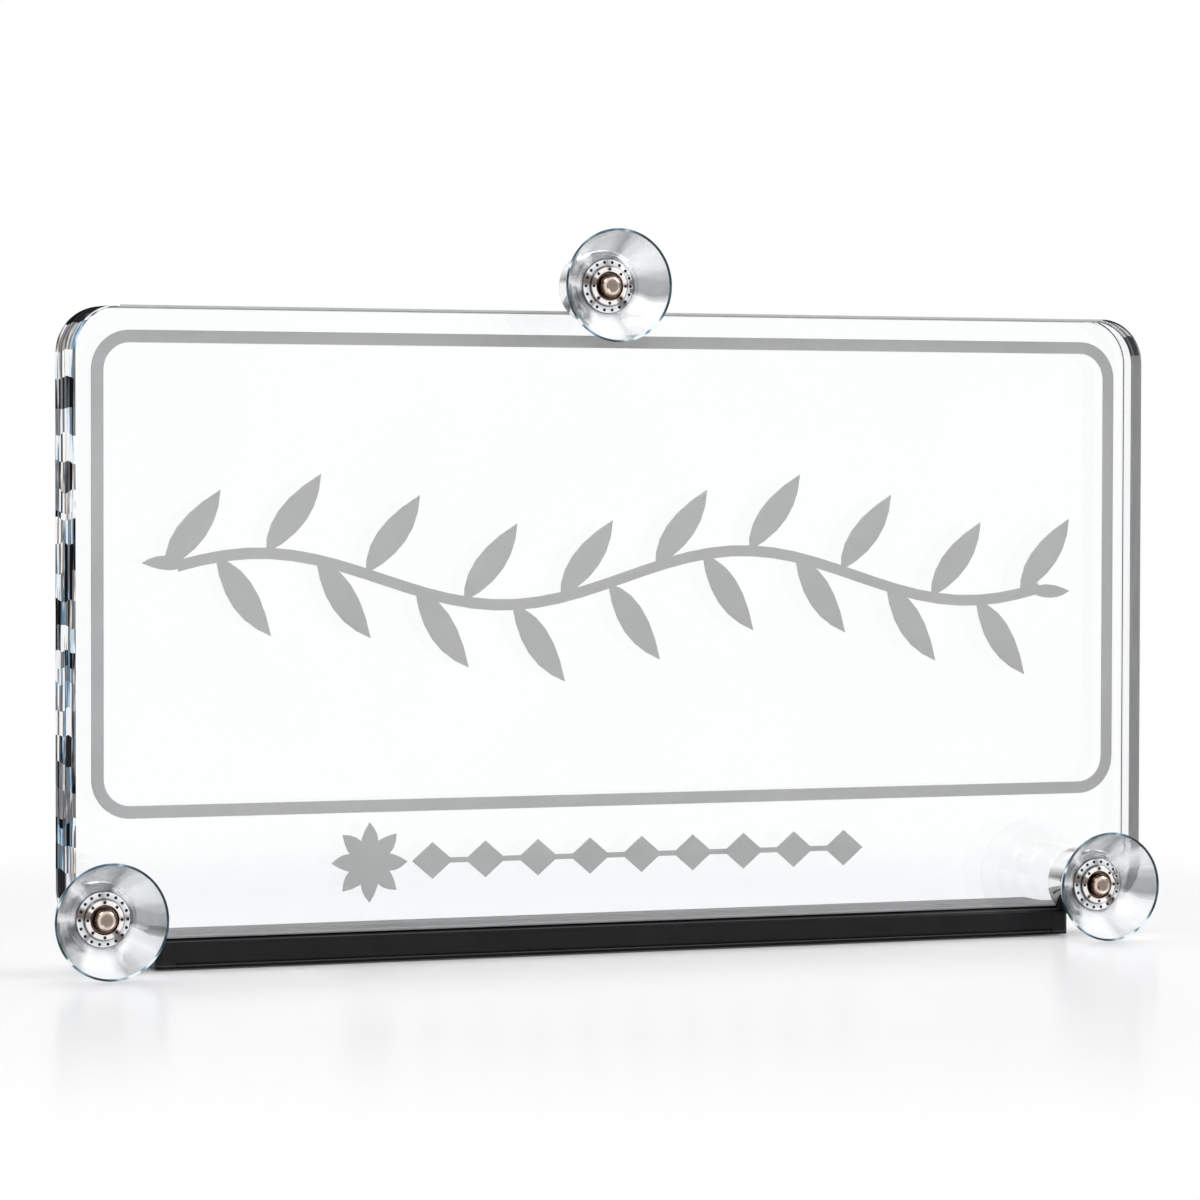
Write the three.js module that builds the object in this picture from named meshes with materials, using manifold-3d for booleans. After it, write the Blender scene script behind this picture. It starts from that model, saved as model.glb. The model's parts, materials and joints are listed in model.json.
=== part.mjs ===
import * as THREE from "three";
import { mergeVertices } from "three/addons/utils/BufferGeometryUtils.js";
import Module from "manifold-3d";

// Name sign: two clear plates bonded face to face over a lit black rail, with three suction cups.
// Millimetres. X runs along the sign, Y from front to back, Z up. The origin is under the middle of
// the rail, on the surface that the sign stands on.

// Plates
const panelWidth = 350;
const panelHeight = 185;
const plateThickness = 9.9;
const bondGap = 0.2;
const panelCornerRadius = 14;
const plateBevel = 0.35;

// Tongue of the rear plate, which drops into the rail
const tongueInset = 35;
const tongueDepth = 4.6;
const tongueClearance = 0.3;

// Frosted inlays between the plates
const inlayThickness = 0.6;
const inlayClearance = 0.05;
const borderInset = 7.1;
const borderFoot = 35;
const borderLine = 3.7;
const borderRadius = 11.8;
const branchInset = 19;
const branchHeight = 104.5;
const branchWave = 8;
const branchWaveLength = 156;
const stemWidth = 3.4;
const leafPitch = 15.6;
const leafLength = 29;
const leafWidth = 8.6;
const leafAngle = 54;
const leafStagger = 5.2;
const leafBellyShare = 0.55;
const leafHeelShare = 0.35;
const endLeafShare = 0.5;
const rosettePlace = -82;
const rosetteHeight = 20;
const rosetteRadius = 12;
const petalCount = 8;
const petalWidth = 5.4;
const beadRowStart = -62;
const beadCount = 9;
const beadPitch = 17;
const beadLength = 13;
const beadHeight = 11;
const beadThread = 1.6;

// Rail
const railInset = 25;
const railDepth = 40;
const railHeight = 9.5;
const railCornerRadius = 2.4;
const capLength = 6;
const footGap = 0.5;
const lipSlope = 0.6;
const lipHeight = 1.3;
const lipGroove = 0.25;
const railEdge = 0.5;
const railFootBevel = 0.7;

// Under the rail
const coverThickness = 1.2;
const coverSetback = 0.4;
const padWidth = 22;
const padThickness = 0.8;
const padEndSetback = 6;
const padClearance = 0.2;

// Screws of the rail
const railScrewRadius = 1.05;
const railScrewHead = 2;
const railScrewHeadHeight = 1;
const railScrewLength = 6;
const railScrewTaper = 0.4;
const capScrewLength = 11;
const screwClearance = 0.15;
const coverScrewInset = 26;
const screwEdgeDistance = 5;
const driveRadius = 0.7;
const driveDepth = 0.8;

// Light and its control
const boardThickness = 1;
const boardWidth = 8;
const boardEndGap = 1.4;
const lightWidth = 4;
const lightHeight = 1.5;
const tailWidth = 7;
const tailShift = 10;
const tailReach = 4.3;
const bayLength = 62;
const bayInset = 66;
const bayDepth = 13;
const bayCeiling = 1.9;
const backWall = 2;
const bayClearance = 0.3;
const inletWidth = 9;
const inletHeight = 3.4;
const inletDepth = 7.4;
const inletWall = 0.4;
const inletShift = 18;
const inletSetback = 0.2;
const inletTongueWidth = 4.5;
const inletTongueLength = 3.7;
const inletTongueThickness = 0.6;
const buttonWidth = 6;
const buttonHeight = 3;
const buttonProud = 1.2;
const buttonTravel = 0.8;
const buttonShift = 14;
const buttonClearance = 0.2;
const buttonFlangeRim = 0.7;
const buttonFlangeThickness = 0.8;
const switchWidth = 6.4;
const switchDepth = 4;
const switchHeight = 3.4;
const switchClearance = 0.15;

// Suction cups
const cupRadius = 17;
const cupDepth = 11.5;
const cupLip = 0.9;
const cupBaseThickness = 1.5;
const cupBossRadius = 10.2;
const cupBossRounding = 0.6;
const cupWellRadius = 8.9;
const cupWellBevel = 0.45;

// The bowl widens in bends, each placed by its share of the way from the boss to the rim
const firstBendOutShare = 0.35;
const firstBendDeepShare = 0.24;
const secondBendOutShare = 0.7;
const secondBendDeepShare = 0.52;
const rimStartShare = 0.93;
const bowlWallOutShare = 0.02;
const bowlWallDeepShare = 0.14;

// Places and fastenings of the suction cups
const lowerCupInset = 13.6;
const lowerCupShift = -8.4;
const lowerCupFloorGap = 0.1;
const topCupShift = -13.3;
const topCupRise = 7.2;
const barrelRadius = 11;
const barrelLength = 10.4;
const barrelBevel = 0.4;
const barrelHoleDepth = 7;
const glueGap = 0.3;
const cupRunningGap = 0.1;
const studRadius = 2.1;
const studClearance = 0.15;
const collarFlangeRadius = 8.3;
const collarFlangeThickness = 0.9;
const collarFlangeDimpleCount = 18;
const collarFlangeDimpleCircle = 7.2;
const collarRadius = 6;
const collarThickness = 1.2;
const collarBevel = 0.45;
const dimpleCount = 8;
const dimpleRadius = 0.5;
const dimpleDepth = 0.4;
const dimpleCircle = 5;
const nutRadius = 3.4;
const nutHeight = 2.2;
const nutRoof = 0.7;
const nutDome = 0.8;
const nutFlatRadius = 1.4;

// Facets of the round shapes
const plateCornerSteps = 12;
const borderCornerSteps = 8;
const leafSteps = 6;
const stemSteps = 40;
const cupSides = 32;
const collarSides = 24;
const railCornerSteps = 6;
const oblongSteps = 6;
const nutDomeSteps = 2;
const screwSides = 12;
const driveSides = 6;

// How far a cutting shape runs past the face that it cuts
const past = 1;

// Points closer than this are the same point
const joinDistance = 1e-5;

// Places that follow from the sizes
const railLength = panelWidth - 2 * railInset;
const tongueLength = panelWidth - 2 * tongueInset;
const branchSpan = panelWidth - 2 * branchInset;
const lowerCupSpan = panelWidth - 2 * lowerCupInset;
const topCupHeight = railHeight + panelHeight + topCupRise;
const lowerCupHeight = cupRadius + lowerCupFloorGap;
const panelFront = -railDepth / 2;
const rearPlateFront = panelFront + plateThickness + bondGap;
const panelBack = rearPlateFront + plateThickness;
const capInside = railLength / 2 - capLength;
const coverScrewPlace = railLength / 2 - coverScrewInset;
const bayPlace = railLength / 2 - bayInset;
const tailPlace = bayPlace - tailShift;
const inletPlace = bayPlace + inletShift;
const buttonPlace = bayPlace - buttonShift;
const coverTop = footGap + coverThickness;
const slotFront = rearPlateFront - tongueClearance;
const slotBack = panelBack + tongueClearance;
const slotLength = tongueLength + 2 * tongueClearance;
const slotMiddle = (slotFront + slotBack) / 2;
const screwRowFront = -railDepth / 2 + screwEdgeDistance;
const screwRowBack = railDepth / 2 - screwEdgeDistance;
const capScrewHeight = (coverTop + railHeight) / 2;
const bayBack = railDepth / 2 - backWall;
const bayFront = bayBack - bayDepth;
const bayTop = railHeight - bayCeiling;
const boardTop = coverTop + boardThickness;
const tailEnd = bayFront + tailReach;
const inletMiddle = boardTop + inletHeight / 2 + bayClearance;
const buttonMiddle = boardTop + buttonHeight / 2 + buttonFlangeRim + bayClearance;
const flangeBack = bayBack - buttonClearance;
const flangeFront = flangeBack - buttonFlangeThickness;
const cupBase = barrelLength + cupRunningGap;
const cupRim = cupBase + cupDepth;
const collarBase = cupBase + cupBaseThickness + cupRunningGap;
const collarFlangeTop = collarBase + collarFlangeThickness;
const nutBase = collarFlangeTop + collarThickness;
const studHole = studRadius + studClearance;

const wasm = await Module();
wasm.setup();

const acrylic = new THREE.MeshStandardMaterial({
  color: 0xf2f7f9, roughness: 0.03, metalness: 0, transparent: true, opacity: 0.3,
});
const frosted = new THREE.MeshStandardMaterial({ color: 0xa6a6a6, roughness: 0.6, metalness: 0 });
const blackGloss = new THREE.MeshStandardMaterial({ color: 0x101112, roughness: 0.18, metalness: 0 });
const blackRubber = new THREE.MeshStandardMaterial({ color: 0x181818, roughness: 0.8, metalness: 0 });
const softClear = new THREE.MeshStandardMaterial({
  color: 0xe6edf0, roughness: 0.08, metalness: 0, transparent: true, opacity: 0.4,
});
const chrome = new THREE.MeshStandardMaterial({ color: 0xcfcfd0, roughness: 0.12, metalness: 1 });
const bronze = new THREE.MeshStandardMaterial({ color: 0x9a7a68, roughness: 0.15, metalness: 1 });
const steel = new THREE.MeshStandardMaterial({ color: 0x55575a, roughness: 0.35, metalness: 1 });
const boardWhite = new THREE.MeshStandardMaterial({ color: 0xe9e9e4, roughness: 0.5, metalness: 0 });
const boardGreen = new THREE.MeshStandardMaterial({ color: 0x1d5a3a, roughness: 0.5, metalness: 0 });
const phosphor = new THREE.MeshStandardMaterial({ color: 0xf1dc7a, roughness: 0.5, metalness: 0 });

const sign = new THREE.Group();

function toSolid(geometry) {
  const bare = geometry.clone();
  bare.deleteAttribute("normal");
  bare.deleteAttribute("uv");
  const merged = mergeVertices(bare, joinDistance);
  return new wasm.Manifold(new wasm.Mesh({
    numProp: 3,
    vertProperties: new Float32Array(merged.attributes.position.array),
    triVerts: new Uint32Array(merged.index.array),
  }));
}

function toGeometry(solid) {
  const mesh = solid.getMesh();
  const geometry = new THREE.BufferGeometry();
  geometry.setAttribute("position", new THREE.BufferAttribute(mesh.vertProperties, 3));
  geometry.setIndex(new THREE.BufferAttribute(mesh.triVerts, 1));
  geometry.computeVertexNormals();
  return geometry;
}

function addPiece(name, solid, material, parent = sign) {
  const mesh = new THREE.Mesh(toGeometry(solid), material);
  mesh.name = name;
  parent.add(mesh);
}

function block(sizeX, sizeY, sizeZ, x, y, z) {
  return toSolid(new THREE.BoxGeometry(sizeX, sizeY, sizeZ).translate(x, y, z));
}

function rod(radius, length, segments = screwSides) {
  return new THREE.CylinderGeometry(radius, radius, length, segments);
}

// A flat shape drawn in X and Z, given a depth that runs from front to back.
function upright(shape, depth, front, segments, bevel = 0) {
  const geometry = new THREE.ExtrudeGeometry(shape, {
    depth: depth - 2 * bevel,
    curveSegments: segments,
    bevelEnabled: bevel > 0,
    bevelThickness: bevel,
    bevelSize: bevel,
    bevelOffset: -bevel,
    bevelSegments: 1,
  });
  geometry.translate(0, 0, bevel - depth);
  geometry.rotateX(Math.PI / 2);
  geometry.translate(0, front, 0);
  return toSolid(geometry);
}

// Round shapes are turned about Y from a closed outline of radius and height.
function turned(outline, segments) {
  const points = outline.map(([radius, height]) => new THREE.Vector2(radius, height));
  points.push(points[0].clone());
  return toSolid(new THREE.LatheGeometry(points, segments));
}

function roundedOutline(halfWidth, bottom, top, radius, path = new THREE.Shape()) {
  path.moveTo(-halfWidth + radius, bottom);
  path.lineTo(halfWidth - radius, bottom);
  path.absarc(halfWidth - radius, bottom + radius, radius, -Math.PI / 2, 0, false);
  path.lineTo(halfWidth, top - radius);
  path.absarc(halfWidth - radius, top - radius, radius, 0, Math.PI / 2, false);
  path.lineTo(-halfWidth + radius, top);
  path.absarc(-halfWidth + radius, top - radius, radius, Math.PI / 2, Math.PI, false);
  path.lineTo(-halfWidth, bottom + radius);
  path.absarc(-halfWidth + radius, bottom + radius, radius, Math.PI, Math.PI * 1.5, false);
  return path;
}

// Inlays. Each is drawn with a growth, so that its pocket is the same shape made a little larger.
function borderShape(growth) {
  const half = panelWidth / 2 - borderInset;
  const low = railHeight + borderFoot;
  const high = railHeight + panelHeight - borderInset;
  const line = borderLine + growth;
  const shape = roundedOutline(half + growth, low - growth, high + growth, borderRadius + growth);
  const inner = roundedOutline(half - line, low + line, high - line, borderRadius - line, new THREE.Path());
  shape.holes.push(inner);
  return shape;
}

function leafShape(length, width, growth) {
  const tip = length + growth;
  const side = width + 2 * growth;
  const shape = new THREE.Shape();
  shape.moveTo(-growth, 0);
  shape.quadraticCurveTo(tip * leafBellyShare, -side, tip, 0);
  shape.quadraticCurveTo(tip * leafHeelShare, side, -growth, 0);
  return shape;
}

function stemHeight(x) {
  return railHeight + branchHeight + branchWave * Math.sin((2 * Math.PI * x) / branchWaveLength);
}

function stemShape(growth) {
  const shape = new THREE.Shape();
  const half = stemWidth / 2 + growth;
  for (let side = 1; side >= -1; side -= 2) {
    for (let i = 0; i <= stemSteps; i += 1) {
      const step = side > 0 ? stemSteps - i : i;
      const x = (step / stemSteps - 0.5) * (branchSpan - leafLength);
      const z = stemHeight(x) + side * half;
      if (side > 0 && i === 0) shape.moveTo(x, z);
      else shape.lineTo(x, z);
    }
  }
  shape.closePath();
  return shape;
}

function branchSolid(depth, front, growth) {
  let branch = upright(stemShape(growth), depth, front, 1);
  const addLeaf = (x, lean, share) => {
    const shape = leafShape(leafLength * share, leafWidth * share, growth);
    const turn = new THREE.Matrix4().makeRotationY(-lean);
    turn.setPosition(x, front, stemHeight(x));
    branch = branch.add(upright(shape, depth, 0, leafSteps).transform(turn.elements));
  };
  const count = Math.floor((branchSpan - leafLength) / leafPitch);
  for (let i = 0; i <= count; i += 1) {
    const lean = (i % 2 === 0 ? 1 : -1) * leafAngle * (Math.PI / 180);
    addLeaf((i - count / 2) * leafPitch - leafStagger, lean, 1);
  }
  const stemEnd = (branchSpan - leafLength) / 2 - stemWidth;
  addLeaf(stemEnd, 0, endLeafShare);
  addLeaf(-stemEnd, Math.PI, endLeafShare);
  return branch;
}

function rosetteSolid(depth, front, growth) {
  let rosette = null;
  for (let i = 0; i < petalCount; i += 1) {
    const petal = upright(leafShape(rosetteRadius, petalWidth, growth), depth, 0, leafSteps);
    const turn = new THREE.Matrix4().makeRotationY((i / petalCount) * Math.PI * 2);
    turn.setPosition(rosettePlace, front, railHeight + rosetteHeight);
    const placed = petal.transform(turn.elements);
    rosette = rosette ? rosette.add(placed) : placed;
  }
  const eye = toSolid(rod(petalWidth / 2 + growth, depth).translate(0, depth / 2, 0));
  return rosette.add(eye.translate([rosettePlace, front, railHeight + rosetteHeight]));
}

function beadSolid(depth, front, growth) {
  const length = (beadCount - 1) * beadPitch;
  const thread = beadThread + 2 * growth;
  const z = railHeight + rosetteHeight;
  let row = block(length, depth, thread, beadRowStart + length / 2, front + depth / 2, z);
  for (let i = 0; i < beadCount; i += 1) {
    const x = beadRowStart + i * beadPitch;
    const bead = new THREE.Shape();
    bead.moveTo(-beadLength / 2 - growth, 0);
    bead.lineTo(0, -beadHeight / 2 - growth);
    bead.lineTo(beadLength / 2 + growth, 0);
    bead.lineTo(0, beadHeight / 2 + growth);
    bead.closePath();
    row = row.add(upright(bead, depth, front, 1).translate([x, 0, z]));
  }
  return row;
}

function borderSolid(depth, front, growth) {
  return upright(borderShape(growth), depth, front, borderCornerSteps);
}

const inlays = [
  ["border_inlay", borderSolid],
  ["branch_inlay", branchSolid],
  ["rosette_inlay", rosetteSolid],
  ["bead_inlay", beadSolid],
];

function addPlates() {
  const top = railHeight + panelHeight;
  const outline = roundedOutline(panelWidth / 2, railHeight, top, panelCornerRadius);
  let front = upright(outline, plateThickness, panelFront, plateCornerSteps, plateBevel);
  const pocketDepth = inlayThickness + inlayClearance;
  const plateBack = panelFront + plateThickness;
  for (const [name, make] of inlays) {
    const inlayFront = plateBack - inlayThickness;
    addPiece(name, make(inlayThickness, inlayFront, 0), frosted);
    front = front.subtract(make(pocketDepth + past, plateBack - pocketDepth, inlayClearance));
  }
  addPiece("front_plate", front, acrylic);

  let rear = upright(outline, plateThickness, rearPlateFront, plateCornerSteps, plateBevel);
  const overlap = panelCornerRadius;
  const tongue = block(
    tongueLength, plateThickness - 2 * plateBevel, tongueDepth + overlap,
    0, rearPlateFront + plateThickness / 2, railHeight - tongueDepth / 2 + overlap / 2,
  );
  rear = rear.add(tongue);
  addPiece("rear_plate", rear, acrylic);
}

// The rail's outline across its depth: a stepped lip over the front face, and the same at the back.
function railShape(bottom) {
  const half = railDepth / 2;
  const lipFoot = railHeight - railEdge - lipHeight;
  const side = [
    [half - railFootBevel, bottom],
    [half, bottom + railFootBevel],
    [half, lipFoot - lipGroove],
    [half - lipGroove, lipFoot - lipGroove],
    [half - lipGroove, lipFoot],
    [half - lipGroove - lipSlope, lipFoot + lipHeight],
    [half - lipGroove - lipSlope - railEdge, railHeight],
  ];
  const mirrored = side.map(([y, z]) => [-y, z]).reverse();
  const shape = new THREE.Shape();
  for (const [index, [y, z]] of [...side, ...mirrored].entries()) {
    if (index === 0) shape.moveTo(y, z);
    else shape.lineTo(y, z);
  }
  shape.closePath();
  return shape;
}

// A shape drawn in Y and Z, given a length along X.
function along(shape, length, start) {
  const geometry = new THREE.ExtrudeGeometry(shape, {
    depth: length, bevelEnabled: false, curveSegments: railCornerSteps,
  });
  geometry.rotateX(Math.PI / 2);
  geometry.rotateZ(Math.PI / 2);
  geometry.translate(start, 0, 0);
  return toSolid(geometry);
}

function lyingRod(radius, length, x, y, z) {
  return toSolid(rod(radius, length).rotateZ(Math.PI / 2).translate(x, y, z));
}

function standingRod(radius, length, x, y, z) {
  return toSolid(rod(radius, length).rotateX(Math.PI / 2).translate(x, y, z));
}

function addRail() {
  let body = along(railShape(coverTop), 2 * capInside, -capInside);
  const slotTop = railHeight + past;
  const bottom = coverTop - past;
  body = body.subtract(block(
    slotLength, slotBack - slotFront, slotTop - bottom,
    0, slotMiddle, (slotTop + bottom) / 2,
  ));
  body = body.subtract(block(
    bayLength, bayDepth, bayTop - bottom,
    bayPlace, (bayFront + bayBack) / 2, (bayTop + bottom) / 2,
  ));
  const tailTop = boardTop + bayClearance;
  body = body.subtract(block(
    tailWidth + 2 * bayClearance, bayFront - slotBack + 2 * past, tailTop - bottom,
    tailPlace, (bayFront + slotBack) / 2, (tailTop + bottom) / 2,
  ));
  body = body.subtract(wallHole(inletWidth, inletHeight, bayClearance, inletPlace, inletMiddle));
  body = body.subtract(wallHole(buttonWidth, buttonHeight, buttonClearance, buttonPlace, buttonMiddle));
  const hole = railScrewRadius + screwClearance;
  const reach = capScrewLength - capLength + screwClearance;
  const rise = railScrewLength - coverThickness + screwClearance;
  for (const end of [-1, 1]) {
    for (const row of [screwRowFront, screwRowBack]) {
      const x = end * (capInside - (reach - past) / 2);
      body = body.subtract(lyingRod(hole, reach + past, x, row, capScrewHeight));
      const z = coverTop + (rise - past) / 2;
      body = body.subtract(standingRod(hole, rise + past, end * coverScrewPlace, row, z));
    }
  }
  addPiece("rail_body", body, blackGloss);
}

function oblong(width, height, depth, back) {
  const shape = new THREE.Shape();
  const radius = height / 2;
  shape.moveTo(-width / 2 + radius, -radius);
  shape.lineTo(width / 2 - radius, -radius);
  shape.absarc(width / 2 - radius, 0, radius, -Math.PI / 2, Math.PI / 2, false);
  shape.lineTo(-width / 2 + radius, radius);
  shape.absarc(-width / 2 + radius, 0, radius, Math.PI / 2, Math.PI * 1.5, false);
  return upright(shape, depth, back - depth, oblongSteps);
}

// A hole through the rail's back wall for the inlet or the button.
function wallHole(width, height, clearance, x, z) {
  const opening = oblong(
    width + 2 * clearance, height + 2 * clearance, backWall + 2 * past, railDepth / 2 + past,
  );
  return opening.translate([x, 0, z]);
}

// A countersunk screw along its own +Y, with its head's face at 0 and its tip at -length.
function screwSolid(length) {
  const body = turned([
    [0, -length],
    [railScrewRadius - railScrewTaper, -length],
    [railScrewRadius, -length + railScrewTaper],
    [railScrewRadius, -railScrewHeadHeight],
    [railScrewHead, 0],
    [0, 0],
  ], screwSides);
  const drive = rod(driveRadius, driveDepth + past, driveSides).translate(0, (past - driveDepth) / 2, 0);
  return body.subtract(toSolid(drive));
}

function countersink(depth) {
  const wide = railScrewHead + screwClearance;
  const narrow = railScrewRadius + screwClearance;
  return turned([
    [0, -depth],
    [narrow, -depth],
    [narrow, -railScrewHeadHeight],
    [wide, 0],
    [wide, past],
    [0, past],
  ], screwSides);
}

// The rail's plan at one end, with its two outer corners rounded.
function capPlan() {
  const half = railDepth / 2;
  const side = capLength - railCornerRadius;
  const plan = new THREE.Shape();
  plan.moveTo(0, -half);
  plan.lineTo(side, -half);
  plan.absarc(side, -half + railCornerRadius, railCornerRadius, -Math.PI / 2, 0, false);
  plan.lineTo(capLength, half - railCornerRadius);
  plan.absarc(side, half - railCornerRadius, railCornerRadius, 0, Math.PI / 2, false);
  plan.lineTo(0, half);
  plan.closePath();
  return plan;
}

function addEndCap(side, end) {
  const start = end > 0 ? capInside : -capInside - capLength;
  const rounding = new THREE.ExtrudeGeometry(capPlan(), {
    depth: railHeight + 2 * past, bevelEnabled: false, curveSegments: railCornerSteps,
  });
  if (end < 0) rounding.rotateZ(Math.PI);
  rounding.translate(end * capInside, 0, -past);
  let cap = along(railShape(footGap), capLength, start).intersect(toSolid(rounding));
  const outwards = [0, 0, -90 * end];
  const rows = { front: screwRowFront, back: screwRowBack };
  for (const [row, y] of Object.entries(rows)) {
    const place = [(end * railLength) / 2, y, capScrewHeight];
    cap = cap.subtract(countersink(capLength + past).rotate(outwards).translate(place));
    const screw = screwSolid(capScrewLength).rotate(outwards).translate(place);
    addPiece(`cap_screw_${side}_${row}`, screw, steel);
  }
  addPiece(`end_cap_${side}`, cap, blackGloss);
}

function addUnderside() {
  const length = 2 * capInside - 2 * coverSetback;
  const width = railDepth - 2 * coverSetback;
  let cover = block(length, width, coverThickness, 0, 0, footGap + coverThickness / 2);
  const padLength = length - 2 * padEndSetback;
  cover = cover.subtract(block(
    padLength + 2 * padClearance, padWidth + 2 * padClearance, 2 * (padThickness - footGap),
    0, 0, footGap,
  ));
  const downwards = [-90, 0, 0];
  let number = 0;
  for (const end of [-1, 1]) {
    for (const row of [screwRowFront, screwRowBack]) {
      number += 1;
      const place = [end * coverScrewPlace, row, footGap];
      cover = cover.subtract(countersink(coverThickness + past).rotate(downwards).translate(place));
      const screw = screwSolid(railScrewLength).rotate(downwards).translate(place);
      addPiece(`cover_screw_${number}`, screw, steel);
    }
  }
  addPiece("base_cover", cover, blackGloss);
  addPiece("foot_pad", block(padLength, padWidth, padThickness, 0, 0, padThickness / 2), blackRubber);
}

function addLight() {
  const length = slotLength - 2 * boardEndGap;
  let board = block(length, boardWidth, boardThickness, 0, slotMiddle, coverTop + boardThickness / 2);
  board = board.add(block(
    tailWidth, tailEnd - slotMiddle, boardThickness,
    tailPlace, (tailEnd + slotMiddle) / 2, coverTop + boardThickness / 2,
  ));
  addPiece("light_board", board, boardWhite);
  const shape = new THREE.Shape();
  shape.moveTo(-lightWidth / 2, 0);
  shape.lineTo(lightWidth / 2, 0);
  shape.absellipse(0, 0, lightWidth / 2, lightHeight, 0, Math.PI, false, 0);
  const lit = length - boardWidth;
  const strip = along(shape, lit, -lit / 2).translate([0, slotMiddle, boardTop]);
  addPiece("light_strip", strip, phosphor);
}

function addControl() {
  const width = bayLength - 2 * bayClearance;
  const front = tailEnd + bayClearance;
  const depth = bayBack - bayClearance - front;
  const z = coverTop + boardThickness / 2;
  const board = block(width, depth, boardThickness, bayPlace, front + depth / 2, z);
  addPiece("control_board", board, boardGreen);

  const back = railDepth / 2 - inletSetback;
  const shell = oblong(inletWidth, inletHeight, inletDepth, back);
  const mouth = oblong(
    inletWidth - 2 * inletWall, inletHeight - 2 * inletWall,
    inletDepth - inletWall + past, back + past,
  );
  const tongue = block(
    inletTongueWidth, inletTongueLength, inletTongueThickness,
    0, back - inletDepth + inletTongueLength / 2, 0,
  );
  const inlet = shell.subtract(mouth).add(tongue);
  addPiece("power_inlet", inlet.translate([inletPlace, 0, inletMiddle]), steel);

  const buttonBack = railDepth / 2 + buttonProud;
  const flange = oblong(
    buttonWidth + 2 * buttonFlangeRim, buttonHeight + 2 * buttonFlangeRim,
    buttonFlangeThickness, flangeBack,
  );
  const button = oblong(buttonWidth, buttonHeight, buttonBack - flangeFront, buttonBack).add(flange);
  addPiece("push_button", button.translate([buttonPlace, 0, buttonMiddle]), blackGloss);

  const switchBack = flangeFront - buttonTravel - switchClearance;
  const base = block(
    switchWidth, switchDepth, switchHeight,
    buttonPlace, switchBack - switchDepth / 2, boardTop + switchHeight / 2,
  );
  addPiece("switch_body", base, blackRubber);
}

// Suction cup stations. Each is turned about its own axis, which points at the viewer.
function barrelSolid() {
  const floor = barrelLength - barrelHoleDepth;
  return turned([
    [0, glueGap],
    [barrelRadius - barrelBevel, glueGap],
    [barrelRadius, glueGap + barrelBevel],
    [barrelRadius, barrelLength - barrelBevel],
    [barrelRadius - barrelBevel, barrelLength],
    [studHole, barrelLength],
    [studHole, floor],
    [0, floor],
  ], cupSides);
}

function studSolid() {
  const start = barrelLength - barrelHoleDepth + studClearance;
  const end = nutBase + nutHeight - nutRoof - studClearance;
  return turned([
    [0, start],
    [studRadius, start],
    [studRadius, end],
    [0, end],
  ], screwSides);
}

function cupSolid() {
  const hole = studRadius + cupRunningGap;
  const seat = cupBase + cupBaseThickness;
  const bowl = (width, depth) => [
    cupBossRadius + (cupRadius - cupBossRadius) * width,
    cupBase + cupDepth * depth,
  ];
  return turned([
    [hole, cupBase],
    [cupBossRadius - cupBossRounding, cupBase],
    [cupBossRadius, cupBase + cupBossRounding],
    bowl(firstBendOutShare, firstBendDeepShare),
    bowl(secondBendOutShare, secondBendDeepShare),
    bowl(1, rimStartShare),
    [cupRadius, cupRim],
    [cupRadius - cupLip, cupRim],
    bowl(secondBendOutShare - bowlWallOutShare, secondBendDeepShare + bowlWallDeepShare),
    bowl(firstBendOutShare - bowlWallOutShare, firstBendDeepShare + bowlWallDeepShare),
    [cupWellRadius + cupWellBevel, seat + cupWellBevel],
    [cupWellRadius, seat],
    [hole, seat],
  ], cupSides);
}

// The collar is a wide flange with a narrower step on it. Each has a ring of dimples for the key.
function collarSolid() {
  let collar = turned([
    [studHole, collarBase],
    [collarFlangeRadius, collarBase],
    [collarFlangeRadius, collarFlangeTop - collarBevel],
    [collarFlangeRadius - collarBevel, collarFlangeTop],
    [collarRadius, collarFlangeTop],
    [collarRadius, nutBase - collarBevel],
    [collarRadius - collarBevel, nutBase],
    [studHole, nutBase],
  ], collarSides);
  const rings = [
    { count: dimpleCount, circle: dimpleCircle, face: nutBase },
    { count: collarFlangeDimpleCount, circle: collarFlangeDimpleCircle, face: collarFlangeTop },
  ];
  for (const { count, circle, face } of rings) {
    for (let i = 0; i < count; i += 1) {
      const angle = (i / count) * Math.PI * 2;
      const dimple = rod(dimpleRadius, 2 * dimpleDepth, driveSides);
      dimple.translate(circle * Math.cos(angle), face, circle * Math.sin(angle));
      collar = collar.subtract(toSolid(dimple));
    }
  }
  return collar;
}

function nutSolid() {
  const base = nutBase + studClearance;
  const top = nutBase + nutHeight;
  const outline = [[studHole, base], [nutRadius, base]];
  for (let i = 0; i <= nutDomeSteps; i += 1) {
    const angle = (i / nutDomeSteps) * (Math.PI / 2);
    outline.push([
      nutFlatRadius + (nutRadius - nutFlatRadius) * Math.cos(angle),
      top - nutDome + nutDome * Math.sin(angle),
    ]);
  }
  outline.push([0, top], [0, top - nutRoof], [studHole, top - nutRoof]);
  return turned(outline, collarSides);
}

function addStation(place, x, z) {
  const station = new THREE.Group();
  station.position.set(x, panelFront, z);
  station.rotation.z = Math.PI;
  sign.add(station);
  addPiece(`barrel_${place}`, barrelSolid(), chrome, station);
  addPiece(`stud_${place}`, studSolid(), steel, station);
  addPiece(`cup_${place}`, cupSolid(), softClear, station);
  addPiece(`collar_${place}`, collarSolid(), chrome, station);
  addPiece(`cap_nut_${place}`, nutSolid(), bronze, station);
}

addPlates();
addRail();
addEndCap("left", -1);
addEndCap("right", 1);
addUnderside();
addLight();
addControl();
addStation("top", topCupShift, topCupHeight);
addStation("left", lowerCupShift - lowerCupSpan / 2, lowerCupHeight);
addStation("right", lowerCupShift + lowerCupSpan / 2, lowerCupHeight);

export default sign;
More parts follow.
